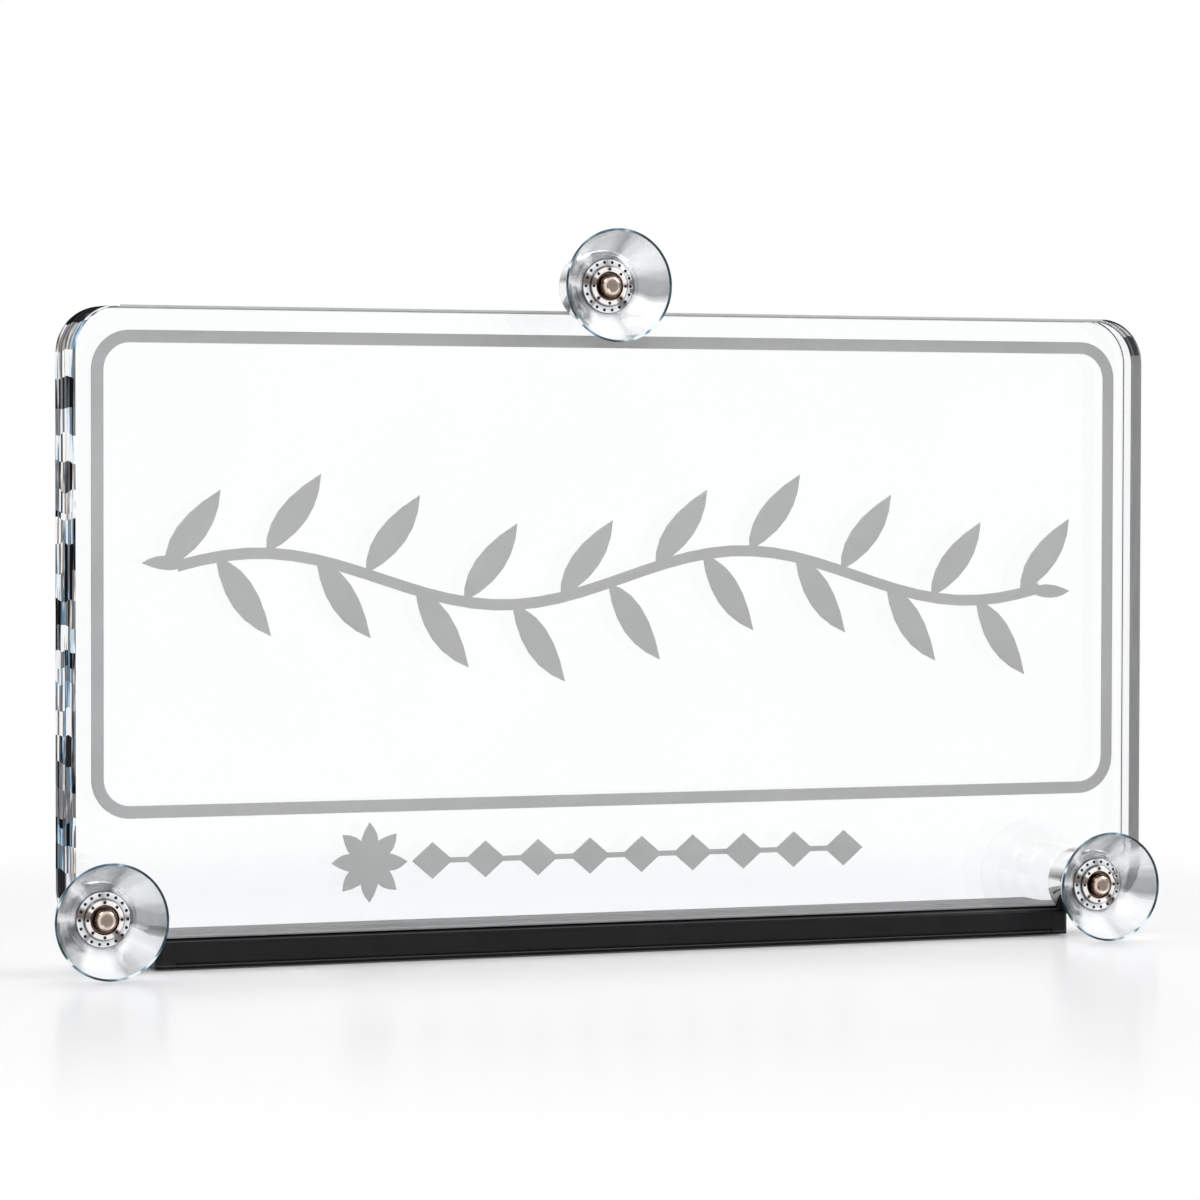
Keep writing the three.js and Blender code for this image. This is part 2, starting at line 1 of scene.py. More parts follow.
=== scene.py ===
# %% [markdown]
# # A clear name sign on a black rail
# The sign is two clear acrylic plates bonded face to face, with frosted ornaments between them.
# The plates stand in a glossy black rail, and three clear suction cups sit on the front.
# The solid model is loaded first and never changed. Everything after it is looks.

import json
import math

import bmesh
import bpy
from mathutils import Matrix, Vector

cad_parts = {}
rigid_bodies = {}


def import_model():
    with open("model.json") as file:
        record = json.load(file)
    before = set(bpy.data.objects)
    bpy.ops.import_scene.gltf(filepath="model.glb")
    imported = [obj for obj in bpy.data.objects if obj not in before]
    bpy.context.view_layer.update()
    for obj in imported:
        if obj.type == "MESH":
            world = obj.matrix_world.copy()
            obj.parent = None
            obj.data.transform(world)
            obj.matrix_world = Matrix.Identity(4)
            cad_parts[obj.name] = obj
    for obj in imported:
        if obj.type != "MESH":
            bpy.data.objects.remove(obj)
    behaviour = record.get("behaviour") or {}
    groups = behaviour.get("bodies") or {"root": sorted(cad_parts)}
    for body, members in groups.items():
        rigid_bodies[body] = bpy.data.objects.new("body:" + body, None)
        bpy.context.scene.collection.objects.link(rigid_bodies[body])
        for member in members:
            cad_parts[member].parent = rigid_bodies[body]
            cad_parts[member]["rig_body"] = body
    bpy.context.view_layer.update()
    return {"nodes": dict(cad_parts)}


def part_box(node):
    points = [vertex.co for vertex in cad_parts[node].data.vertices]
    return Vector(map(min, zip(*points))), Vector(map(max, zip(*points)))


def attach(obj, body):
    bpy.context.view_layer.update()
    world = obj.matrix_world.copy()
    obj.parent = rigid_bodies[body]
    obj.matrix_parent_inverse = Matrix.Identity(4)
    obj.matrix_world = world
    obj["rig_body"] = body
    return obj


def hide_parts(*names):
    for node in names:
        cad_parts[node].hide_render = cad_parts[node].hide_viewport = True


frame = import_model()
MM = 0.001

# %% [markdown]
# ## The camera
# The camera was worked out from the edges of the plates and the rail: it stands to the left of the
# sign, a little above its middle, and looks slightly down. A long lens keeps the edges nearly
# parallel.

# %% Camera
CAMERA_PLACE = Vector((-551.47, -1342.50, 148.35)) * MM
CAMERA_YAW = math.radians(22.249)
CAMERA_AIM = Vector((0.37848519, 0.92516412, -0.02864102))
CAMERA_ROLL = math.radians(0.128)
CAMERA_LENS = 141.77
SENSOR_WIDTH = 36
NEAREST_SEEN = 0.05

level = Vector((math.cos(CAMERA_YAW), -math.sin(CAMERA_YAW), 0))
upward = level.cross(CAMERA_AIM)
right = level * math.cos(CAMERA_ROLL) + upward * math.sin(CAMERA_ROLL)
upward = upward * math.cos(CAMERA_ROLL) - level * math.sin(CAMERA_ROLL)
camera = bpy.data.objects.new("camera", bpy.data.cameras.new("camera"))
camera.data.sensor_width = SENSOR_WIDTH
camera.data.lens = CAMERA_LENS
camera.data.clip_start = NEAREST_SEEN
facing = Matrix((right, upward, -CAMERA_AIM)).transposed().to_4x4()
camera.matrix_world = Matrix.Translation(CAMERA_PLACE) @ facing
bpy.context.scene.collection.objects.link(camera)
bpy.context.scene.camera = camera
bpy.context.scene.view_settings.view_transform = "Standard"
print("camera at", [round(c, 3) for c in camera.location])

# %% [markdown]
# ## Shader maths as plain sums
# A material is a graph of nodes. Wrapping a socket in a small class lets the graph be written as
# ordinary sums, which are far easier to read than a list of links.


# %% A socket that can be added and multiplied
class Wire:
    """One shader socket that works in sums like a number."""

    def __init__(self, tree, socket=None):
        self.tree = tree
        self.socket = socket

    def add(self, kind, sockets=None, output=0, stops=None, **settings):
        """Adds any node: its settings first, then the values or wires of its sockets."""
        node = self.tree.nodes.new(kind)
        for name, value in settings.items():
            setattr(node, name, value)
        if stops:
            ramp = node.color_ramp.elements
            while len(ramp) > 1:
                ramp.remove(ramp[-1])
            ramp[0].position, ramp[0].color = stops[0][0], (*stops[0][1], 1)
            for place, colour in stops[1:]:
                ramp.new(place).color = (*colour, 1)
        for name, value in (sockets or {}).items():
            if isinstance(value, Wire):
                self.tree.links.new(value.socket, node.inputs[name])
            else:
                node.inputs[name].default_value = value
        return Wire(self.tree, node.outputs[output])

    def other_output(self, output):
        """Another output of the node that this wire comes from."""
        return Wire(self.tree, self.socket.node.outputs[output])

    def math(self, operation, first, second=0.0):
        """One step of arithmetic on wires or numbers."""
        return self.add("ShaderNodeMath", {0: first, 1: second}, operation=operation)

    def __add__(self, other):
        return self.math("ADD", self, other)

    def __sub__(self, other):
        return self.math("SUBTRACT", self, other)

    def __mul__(self, other):
        return self.math("MULTIPLY", self, other)

    def __gt__(self, other):
        return self.math("GREATER_THAN", self, other)

    def __abs__(self):
        return self.math("ABSOLUTE", self)

    def blend(self, low, high):
        """A colour that goes from low to high as this value goes from 0 to 1."""
        return self.add("ShaderNodeMix", {0: self, 6: low, 7: high}, 2, data_type="RGBA")

    def noise(self, scale, detail=3.0, stretch=(1, 1, 1), roughness=0.55):
        """Clouds of noise in the object's own metres, stretched along an axis if asked."""
        place = self.add("ShaderNodeTexCoord", output=3)
        spread = self.add("ShaderNodeMapping", {"Vector": place, "Scale": stretch})
        sockets = {"Vector": spread, "Scale": scale, "Detail": detail, "Roughness": roughness}
        return self.add("ShaderNodeTexNoise", sockets)

    def bump(self, height, strength, distance):
        """Surface relief from a height wire. The distance is in metres."""
        sockets = {"Height": height, "Strength": strength, "Distance": distance}
        return self.add("ShaderNodeBump", sockets)


def finish(name, **values):
    """A new material. Values that are the same all over go straight on the shader's sockets."""
    material = bpy.data.materials.new(name)
    material.use_nodes = True
    shader = material.node_tree.nodes["Principled BSDF"]
    for socket, value in values.items():
        shader.inputs[socket.replace("_", " ").title().replace("Ior", "IOR")].default_value = value
    return material, Wire(material.node_tree), shader.inputs


def connect(sockets, **wires):
    """Links wires to the shader's sockets by name."""
    for name, wire in wires.items():
        wire.tree.links.new(wire.socket, sockets[name.replace("_", " ").title()])


# %% [markdown]
# ## Clear acrylic
# Polished acrylic is nearly invisible from the front. It could be a glass shader, but a fully
# transmitting Principled shader with the refraction of acrylic does the same and can be exported.
# A little slow haze keeps the big faces from looking computed.

# %% Clear faces
PANEL_WIDTH = 350 * MM
PANEL_HEIGHT = 185 * MM
RAIL_TOP = 9.5 * MM
CORNER_RADIUS = 14 * MM
CLEAR = (0.985, 0.992, 0.996, 1)

acrylic, wire, shader = finish("clear_acrylic", transmission_weight=1.0, ior=1.49)
haze = wire.noise(18, 3.0)
connect(shader, base_color=haze.blend(CLEAR, (0.996, 0.998, 1, 1)), roughness=haze * 0.012)
print("made", acrylic.name)

# %% [markdown]
# ## Polished edges
# A clear sheet shows at its edges, which mirror the room in small pieces. A traced reflection would
# need that very room, so the reflection is painted into the edge's colour instead. On the left
# side small dark, white and blue panes of painted reflection stand in rows across the thickness, a
# little rippled. They also fill the upper right corner. Elsewhere the edge is an even grey that
# stands in for its reflection, with a painted highlight along the top.

# %% Edge finish
RIPPLE = (0, 1.6 * MM, 6 * MM)
BLOCK = (9, 8)
STREAK = (1.9, 46)

edge_with_painted_reflection, wire, shader = finish("polished_edge_painted_reflection", specular_ior_level=0.0)
place = wire.add("ShaderNodeTexCoord", output=3)
across = wire.add("ShaderNodeSeparateXYZ", {"Vector": place})
height = across.other_output(2)
ripple = wire.add("ShaderNodeTexNoise", {"Vector": place, "Scale": 70.0, "Detail": 1.0}, 1)
sway = wire.add("ShaderNodeVectorMath", {0: ripple, 1: RIPPLE}, operation="MULTIPLY")
rippled = wire.add("ShaderNodeVectorMath", {0: place, 1: sway}, operation="ADD")


def panes(depth, height):
    """One random value for each small pane of this size in millimetres on the edge."""
    size = (1, depth * MM, height * MM)
    cell = wire.add("ShaderNodeVectorMath", {0: rippled, 1: size}, operation="SNAP")
    return wire.add("ShaderNodeTexWhiteNoise", {"Vector": cell})


grain = wire.noise(140, 2.0, (1, 3.0, 0.5))
marks = panes(*BLOCK) * 0.46 + panes(*STREAK) * 0.28 + grain * 0.26
# Painted reflection: dark, white, blue and warm panes stand in for the room mirrored in the edge.
pane_reflection_colours = wire.add(
    "ShaderNodeValToRGB",
    {"Fac": marks},
    stops=[
        (0.28, (0.006, 0.007, 0.009)),
        (0.31, (0.09, 0.10, 0.11)),
        (0.38, (0.21, 0.22, 0.23)),
        (0.40, (0.05, 0.27, 0.52)),
        (0.43, (0.80, 0.89, 0.95)),
        (0.46, (0.97, 0.98, 0.99)),
        (0.53, (0.95, 0.94, 0.93)),
        (0.545, (0.58, 0.46, 0.38)),
        (0.57, (0.27, 0.27, 0.28)),
        (0.67, (0.12, 0.13, 0.14)),
        (0.69, (0.72, 0.73, 0.74)),
        (0.74, (0.02, 0.02, 0.025)),
    ],
)
left_end = across * -1 > PANEL_WIDTH / 2 - CORNER_RADIUS
upper_right = (across > PANEL_WIDTH / 2 - CORNER_RADIUS) * (
    height > RAIL_TOP + PANEL_HEIGHT - 0.8 * CORNER_RADIUS
)
# Painted reflection: the rest of the edge is an even grey, with a painted highlight along the top.
top = height > RAIL_TOP + PANEL_HEIGHT - MM
side_grey_reflection = grain.blend((0.24, 0.24, 0.245, 1), (0.32, 0.32, 0.325, 1))
edge_grey_and_top_highlight = top.blend(side_grey_reflection, grain.blend((0.38, 0.38, 0.385, 1), (0.50, 0.50, 0.505, 1)))
connect(
    shader,
    base_color=(left_end + upper_right).blend(edge_grey_and_top_highlight, pane_reflection_colours),
    roughness=grain * 0.12 + 0.3,
    normal=wire.bump(marks, 0.15, 0.0003),
)
print("made", edge_with_painted_reflection.name)

# %% [markdown]
# ## Soft clear vinyl
# Suction cups are moulded from soft clear vinyl. A clear bowl mirrors and bends the room, so wedges
# of grey and white are painted into its colour as reflections. They fan out from its boss, with
# edges that sway a little. They follow the cup and not the sign, so they read a place that each
# round piece stores on its own points: the direction from its axis, and the distance. A ramp round
# the axis gives the wedges. The white ones take a milky, faintly glowing layer, a painted
# highlight, so that little shows through them. An even clear shader would be simpler, but it
# mirrors too little.

# %% Vinyl finish
ROUND_PLACE = "round_place"
FLOW_SPREAD = 1.15
REACH = 20
WEDGE_SWAY = 0.10
PAINTED_HIGHLIGHT_SHARE = 0.6


def reach(wire):
    """The distance from the axis of a round piece, as a share of REACH."""
    spot = wire.add("ShaderNodeAttribute", output=1, attribute_name=ROUND_PLACE)
    return wire.add("ShaderNodeSeparateXYZ", {"Vector": spot}, 2)


def turn(wire):
    """How far round the axis a point lies: 0 at the bottom, then clockwise, and 1 at the bottom."""
    spot = wire.add("ShaderNodeAttribute", output=1, attribute_name=ROUND_PLACE)
    across = wire.add("ShaderNodeSeparateXYZ", {"Vector": spot})
    return wire.math("ARCTAN2", across, across.other_output(1)) * (0.5 / math.pi) + 0.5


def grey(tone):
    """A slightly blue grey."""
    return (tone - 0.015, tone, min(tone + 0.01, 1))


def lay_over(wire, share, layer):
    """Lays a second shader over the material's first one, as far as the share says."""
    surface = wire.tree.nodes["Material Output"].inputs["Surface"]
    below = Wire(wire.tree, surface.links[0].from_socket)
    mixed = wire.add("ShaderNodeMixShader", {0: share, 1: below, 2: layer})
    wire.tree.links.new(mixed.socket, surface)


vinyl, wire, shader = finish("clear_vinyl_painted_reflections", transmission_weight=0.84, ior=1.35)
round_place = wire.add("ShaderNodeAttribute", output=1, attribute_name=ROUND_PLACE)
flow = wire.add("ShaderNodeTexNoise", {"Vector": round_place, "Scale": 2.0, "Detail": 2.0})
waves = flow * 0.85 + wire.noise(70, 2.0) * 0.15
# Painted reflection: grey and white wedges round the axis, in the colour.
painted_reflection_wedges = wire.add(
    "ShaderNodeValToRGB",
    {"Fac": turn(wire) + (waves - 0.5) * WEDGE_SWAY},
    stops=[
        (0.00, grey(0.96)),
        (0.07, grey(1.0)),
        (0.13, grey(0.72)),
        (0.19, grey(0.40)),
        (0.22, grey(0.46)),
        (0.25, grey(0.98)),
        (0.30, grey(0.78)),
        (0.33, grey(0.56)),
        (0.37, grey(1.0)),
        (0.42, grey(0.72)),
        (0.50, grey(0.66)),
        (0.55, grey(0.38)),
        (0.57, grey(0.74)),
        (0.62, grey(1.0)),
        (0.68, grey(0.84)),
        (0.73, grey(0.48)),
        (0.77, grey(0.42)),
        (0.80, grey(0.94)),
        (0.86, grey(1.0)),
        (0.95, grey(0.80)),
        (1.00, grey(0.96)),
    ],
)
connect(
    shader,
    base_color=painted_reflection_wedges,
    roughness=wire.noise(240, 3.0) * 0.05 + 0.01,
    normal=wire.bump(waves, 0.3, 0.0012),
)
# Painted highlight: the whitest wedges take a milky layer that glows a little.
painted_highlight_share = wire.add("ShaderNodeMapRange", {
    "Value": painted_reflection_wedges, "From Min": 0.80, "From Max": 1.0, "To Max": PAINTED_HIGHLIGHT_SHARE,
})
milky_painted_highlight = wire.add("ShaderNodeBsdfPrincipled", {
    "Base Color": (0.90, 0.91, 0.92, 1), "Roughness": 0.3,
    "Emission Color": (1, 1, 1, 1), "Emission Strength": 0.09,
})
lay_over(wire, painted_highlight_share, milky_painted_highlight)
print("made", vinyl.name)

# %% [markdown]
# ## The lip of a cup
# The thin rim of a cup bends the light from all round, so it shows as a dark blue line with a few
# bright gaps. Slow noise round the axis through a short ramp paints both into the colour: painted
# refraction with painted highlights.

# %% Lip finish
lip_painted_refraction, wire, shader = finish("cup_lip_painted_refraction", specular_ior_level=0.2)
round_place = wire.add("ShaderNodeAttribute", output=1, attribute_name=ROUND_PLACE)
flow = wire.add("ShaderNodeTexNoise", {"Vector": round_place, "Scale": 2.2, "Detail": 1.0})
# Painted refraction: a dark blue line with a few bright gaps.
lip_refraction_tones = wire.add(
    "ShaderNodeValToRGB",
    {"Fac": flow},
    stops=[
        (0.40, (0.02, 0.04, 0.06)),
        (0.52, (0.07, 0.13, 0.18)),
        (0.60, (0.18, 0.29, 0.38)),
        (0.65, (0.80, 0.88, 0.94)),
    ],
)
connect(shader, base_color=lip_refraction_tones, roughness=flow * 0.2 + 0.1, normal=wire.bump(flow, 0.2, 0.0003))
print("made", lip_painted_refraction.name)

# %% [markdown]
# ## Frosted inlays
# The ornaments are frosted into the plastic, so they scatter light and look an even grey. A plain
# grey would do from afar. Fine speckle and a slow mottle keep it from looking like printed paper.

# %% Frosted finish
frosted, wire, shader = finish("frosted_grey", ior=1.3)
speckle = wire.noise(2600, 2.0)
mottle = wire.noise(38, 4.0)
tone = speckle * 0.35 + mottle * 0.65
connect(
    shader,
    base_color=tone.blend((0.31, 0.312, 0.315, 1), (0.43, 0.432, 0.435, 1)),
    roughness=speckle * 0.2 + 0.5,
    normal=wire.bump(speckle, 0.25, 0.00006),
)
print("made", frosted.name)

# %% [markdown]
# ## Black rail and rubber
# The rail is glossy black plastic with hairline scratches along its length and a little dust. A
# fine painted glint runs beside each long edge, and painted shade darkens the edges themselves.
# Its top is painted a streaky grey that mirrors nothing, a painted sheen, so that it looks grey
# through the plates. One material does both: a second shader is laid over the first above a
# height, which keeps the rail one piece. The rubber of the foot pad is plain and rough.

# %% Black plastic and rubber finishes
RAIL_MIDDLE = 5 * MM
GLINT_PLACE = 3.5 * MM
GLINT_HALF_WIDTH = 0.14 * MM
EDGE_SHADE_START = 3.8 * MM
gloss_black, wire, shader = finish("gloss_black", ior=1.46, specular_ior_level=0.15)
hairlines = wire.noise(900, 2.0, (0.03, 1, 1))
dust = wire.noise(70, 6.0, roughness=0.7)
height = wire.add("ShaderNodeSeparateXYZ", {"Vector": wire.add("ShaderNodeTexCoord", output=3)}, 2)
from_middle = abs(height - RAIL_MIDDLE)
# Painted highlight: a lighter line in the colour beside each long edge.
painted_glint = abs(from_middle - GLINT_PLACE) * -1 > -GLINT_HALF_WIDTH
# Painted shade: near black along the long edges.
painted_edge_shade = from_middle > EDGE_SHADE_START
tone = dust.blend((0.004, 0.004, 0.005, 1), (0.014, 0.014, 0.015, 1))
dust_and_painted_glint = painted_glint.blend(tone, (0.055, 0.055, 0.056, 1))
connect(
    shader,
    base_color=painted_edge_shade.blend(dust_and_painted_glint, (0.001, 0.001, 0.001, 1)),
    roughness=hairlines * 0.10 + dust * 0.08 + 0.02,
    normal=wire.bump(hairlines, 0.10, 0.00005),
)

# Painted sheen: the top is a flat streaky grey in place of the sheen of black plastic.
streaks = wire.noise(320, 3.0, (0.02, 1, 1))
grey_top_painted_sheen = wire.add("ShaderNodeBsdfPrincipled", {
    "Base Color": streaks.blend((0.15, 0.15, 0.15, 1), (0.27, 0.27, 0.27, 1)),
    "Roughness": streaks * 0.2 + 0.5,
    "Specular IOR Level": 0.0,
})
lay_over(wire, height > RAIL_TOP - 0.05 * MM, grey_top_painted_sheen)

rubber, wire, shader = finish("black_rubber")
pores = wire.noise(1500, 4.0)
connect(
    shader,
    base_color=pores.blend((0.012, 0.012, 0.012, 1), (0.035, 0.035, 0.036, 1)),
    roughness=pores * 0.25 + 0.62,
    normal=wire.bump(pores, 0.5, 0.0001),
)
print("made", gloss_black.name, rubber.name)


# %% [markdown]
# ## Plain metal
# Screws, studs and the inlet are dark steel. A metal needs no more than a tone, a gloss and fine
# grain, and noise makes all three wander a little.


# %% Steel finish
def metal(name, dark, bright, roughness, grain_scale):
    """A polished metal whose tone and gloss wander a little over its surface."""
    material, wire, shader = finish(name, metallic=1.0)
    grain = wire.noise(grain_scale, 3.0)
    connect(
        shader,
        base_color=grain.blend(dark, bright),
        roughness=grain * 0.10 + roughness,
        normal=wire.bump(grain, 0.12, 0.00004),
    )
    print("made", name)
    return material


steel = metal("dark_steel", (0.16, 0.16, 0.17, 1), (0.34, 0.34, 0.35, 1), 0.22, 900)

# %% [markdown]
# ## Turned metal
# Barrels, collars and nuts are turned and polished, and they mirror the room in rings and sectors.
# A white studio gives them too little to mirror, so ramps draw it: one by the distance from the
# axis and one by the angle round it. They turn with the piece, whatever the view.


# %% Rings and sectors
def reflection_sectors(wire, stops):
    """Painted reflection: greys round the axis, as a turned piece mirrors its surroundings."""
    greys = [(place, (tone, tone, tone)) for place, tone in stops]
    return wire.add("ShaderNodeValToRGB", {"Fac": turn(wire)}, stops=greys)


NUT_EDGE = 3.6
BARREL_EDGE = 10.5
MIRRORED_ROOM = (0.15, 0.125, 0.115, 1)


def metal_with_painted_rings(name, stops):
    """A turned metal with painted reflection rings about its axis. Stops are in millimetres."""
    material, wire, shader = finish(name, metallic=1.0)
    shares = [(radius / REACH, colour) for radius, colour in stops]
    away = reach(wire)
    reflection_rings = wire.add("ShaderNodeValToRGB", {"Fac": away}, stops=shares)
    grain = wire.noise(500, 3.0)
    # Painted reflection: dark sectors of the mirrored room, kept off the nut in the middle.
    dark = reflection_sectors(wire, [
        (0.00, 0), (0.10, 0), (0.12, 0.8), (0.15, 0), (0.24, 0), (0.27, 1), (0.32, 0.9),
        (0.34, 0), (0.46, 0), (0.49, 0.6), (0.53, 0), (0.71, 0), (0.74, 0.7), (0.77, 0),
        (0.84, 0), (0.87, 1), (0.91, 0.8), (0.93, 0), (1.00, 0),
    ])
    connect(
        shader,
        base_color=(dark * (away > NUT_EDGE / REACH)).blend(reflection_rings, MIRRORED_ROOM),
        roughness=grain * 0.10 + 0.03,
        normal=wire.bump(grain, 0.12, 0.00004),
    )
    print("made", name)
    return material


# %% [markdown]
# ## Chrome and bronze
# The collars are chrome with a warm inner step, the barrels plain chrome with painted reflection
# bands on their sides, and the domed nuts warm bronze. Each list below goes outwards from the axis
# in millimetres, and its rings are painted reflection and painted shade.

# %% Collar, barrel and nut finishes
# Painted reflection and shade: bright rings, dark ones at the groove, the step and the rim.
collar_metal = metal_with_painted_rings("collar_chrome", [
    (3.6, (0.05, 0.035, 0.03)),
    (4.1, (0.16, 0.12, 0.10)),
    (4.3, (0.90, 0.80, 0.75)),
    (5.5, (0.97, 0.93, 0.91)),
    (5.8, (0.36, 0.35, 0.35)),
    (6.1, (0.10, 0.10, 0.11)),
    (6.3, (0.62, 0.64, 0.66)),
    (7.9, (0.88, 0.89, 0.90)),
    (8.15, (0.12, 0.12, 0.13)),
])
barrel_chrome, wire, shader = finish("barrel_chrome", metallic=1.0)
# Painted reflection: bright and dark bands round the barrel's side.
reflection_bands = reflection_sectors(wire, [
    (0.00, 0.90), (0.06, 0.85), (0.08, 0.05), (0.12, 0.80), (0.16, 0.10), (0.19, 0.90),
    (0.26, 0.92), (0.28, 0.16), (0.31, 0.60), (0.33, 0.95), (0.41, 0.90), (0.44, 0.12),
    (0.47, 0.85), (0.62, 0.95), (0.66, 0.10), (0.70, 0.90), (0.85, 0.90), (0.88, 0.15),
    (0.91, 0.95), (1.00, 0.90),
])
turning = wire.noise(900, 2.0, (1, 3, 1))
side = reach(wire) > BARREL_EDGE / REACH
tone = side.blend((0.80, 0.80, 0.81, 1), reflection_bands)
connect(
    shader,
    base_color=(turning * 0.12).blend(tone, (0.5, 0.5, 0.5, 1)),
    roughness=turning * 0.08 + 0.03,
    normal=wire.bump(turning, 0.08, 0.00004),
)
print("made", barrel_chrome.name)

# Painted reflection: a bright ring on the dome, darker towards the rim.
nut_bronze = metal_with_painted_rings("nut_bronze", [
    (1.4, (0.27, 0.22, 0.19)),
    (1.9, (0.38, 0.31, 0.26)),
    (2.1, (0.80, 0.70, 0.63)),
    (2.6, (0.62, 0.50, 0.42)),
    (2.9, (0.20, 0.12, 0.08)),
    (3.4, (0.09, 0.05, 0.035)),
])

# %% [markdown]
# ## The light inside
# A strip of yellow phosphor runs along a white board under the plates, and a small green board with
# tracks carries the button's switch and the power inlet. They hardly show, so stretched noise cut
# at a level is enough for the tracks.


# %% Board and phosphor finishes
def board(name, mask, track, scale):
    """A circuit board: solder mask over raised tracks."""
    material, wire, shader = finish(name)
    lines = wire.noise(scale, 0.0, (1, 3, 1)) > 0.55
    connect(
        shader,
        base_color=lines.blend(mask, track),
        roughness=lines * -0.15 + 0.42,
        normal=wire.bump(lines, 0.3, 0.00005),
    )
    print("made", name)
    return material


white_board = board("white_board", (0.82, 0.82, 0.79, 1), (0.70, 0.71, 0.68, 1), 190)
green_board = board("green_board", (0.015, 0.14, 0.06, 1), (0.04, 0.27, 0.12, 1), 380)

phosphor, wire, shader = finish("yellow_phosphor")
grains = wire.noise(1200, 3.0)
connect(
    shader,
    base_color=grains.blend((0.80, 0.60, 0.10, 1), (0.92, 0.78, 0.30, 1)),
    roughness=grains * 0.2 + 0.4,
    normal=wire.bump(grains, 0.3, 0.00008),
)
print("made", phosphor.name)

# %% [markdown]
# ## Dressing the solid nodes
# Nodes whose shape is right keep it and only take a finish. They could be modelled again, but the
# solid model is exact already. Their triangles are loose, so a Weld joins them first, and a small
# Bevel then rounds the edges that would catch the light.

# %% Dress the nodes
DRESSED = {
    frosted: ["border_inlay", "branch_inlay", "rosette_inlay", "bead_inlay"],
    gloss_black: ["rail_body", "end_cap_left", "end_cap_right", "base_cover", "push_button"],
    rubber: ["foot_pad", "switch_body"],
    white_board: ["light_board"],
    green_board: ["control_board"],
    phosphor: ["light_strip"],
}
screws = [name for name in frame["nodes"] if "screw" in name]
DRESSED[steel] = [*screws, "power_inlet", "stud_top", "stud_left", "stud_right"]
ROUNDED = ["rail_body", "end_cap_left", "end_cap_right", "push_button"]
EDGE_ROUNDING = 0.12 * MM
EDGE_ANGLE = 35
MERGED = 0.001 * MM

for material, names in DRESSED.items():
    for name in names:
        node = frame["nodes"][name]
        node.data.materials.clear()
        node.data.materials.append(material)
        weld = node.modifiers.new("weld", "WELD")
        weld.merge_threshold = MERGED
        if name in ROUNDED:
            rounding = node.modifiers.new("rounding", "BEVEL")
            rounding.width = EDGE_ROUNDING
            rounding.segments = 2
            rounding.limit_method = "ANGLE"
            rounding.angle_limit = math.radians(EDGE_ANGLE)
print("dressed", sum(len(names) for names in DRESSED.values()), "nodes")


# %% [markdown]
# ## Turning a mesh into a piece of the sign
# Every new piece rides on the body of the node that it stands for. Its object stays at the origin,
# so its finish reads the same metres as the solid model does.


# %% From a mesh to a piece
def new_object(name, mesh):
    """Puts a finished mesh into the scene as an object."""
    data = bpy.data.meshes.new(name)
    mesh.to_mesh(data)
    mesh.free()
    thing = bpy.data.objects.new(name, data)
    bpy.context.scene.collection.objects.link(thing)
    return thing


def body_of(node):
    """The body that carries a node of the solid model."""
    return frame["nodes"][node]["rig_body"]


def new_piece(name, mesh, material, node):
    """Makes the piece, gives it its finish, puts it on its node's body and hides that node."""
    bmesh.ops.recalc_face_normals(mesh, faces=mesh.faces)
    piece = new_object(name, mesh)
    piece.data.materials.append(material)
    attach(piece, body_of(node))
    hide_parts(node)
    print(name, len(piece.data.polygons), "faces")
    return piece


# %% [markdown]
# ## The two clear plates
# Each plate is a slab with four rounded corners and finely bevelled rims. A cube is stretched to
# size, the four edges that run through its thickness are bevelled wide for the corners, and then
# every rim takes a fine bevel. A curve with a thickness could give the same outline, but no rims.

# %% Plate helpers
RIM_BEVEL = 0.65 * MM
TONGUE_LENGTH = 280 * MM
TONGUE_DEPTH = 4.6 * MM
SEAM = 0.01 * MM
CORNER_SEGMENTS = 32
RIM_SEGMENTS = 3
PLATE_CRISP_ANGLE = 8
FACES_FRONT_OR_BACK = 0.99


def plate_mesh(front, back):
    """A slab from front to back, with rounded corners and bevelled rims."""
    mesh = bmesh.new()
    bmesh.ops.create_cube(mesh, size=1)
    bmesh.ops.scale(mesh, vec=(PANEL_WIDTH, back - front, PANEL_HEIGHT), verts=mesh.verts)
    middle = ((front + back) / 2, RAIL_TOP + PANEL_HEIGHT / 2)
    bmesh.ops.translate(mesh, vec=(0, *middle), verts=mesh.verts)
    corners = [
        e for e in mesh.edges if abs(e.verts[0].co.y - e.verts[1].co.y) > (back - front) / 2
    ]
    bmesh.ops.bevel(
        mesh, geom=corners, offset=CORNER_RADIUS, segments=CORNER_SEGMENTS, profile=0.5,
        affect="EDGES", material=-1,
    )
    rims = [e for e in mesh.edges if abs(e.verts[0].co.y - e.verts[1].co.y) < SEAM]
    bmesh.ops.bevel(
        mesh, geom=rims, offset=RIM_BEVEL, segments=RIM_SEGMENTS, profile=0.5,
        affect="EDGES", material=-1,
    )
    return mesh


def shade_by_angle(piece, degrees):
    """Smooth shading, but every edge sharper than this stays crisp."""
    piece.data.shade_smooth()
    piece.data.set_sharp_from_angle(angle=math.radians(degrees))


def box_depths(node):
    """Where a solid node begins and ends from front to back."""
    low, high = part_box(node)
    return low.y, high.y


# %% [markdown]
# ## Making the plates
# The rear plate has a tongue, pulled down out of its lower edge, that drops into the rail. Faces
# that don't look forwards or back take the edge finish, but the rear plate's right side stays
# clear. Edges above a small angle stay crisp: if a big face were shaded smoothly into its bevel,
# all that shows through it would be bent.

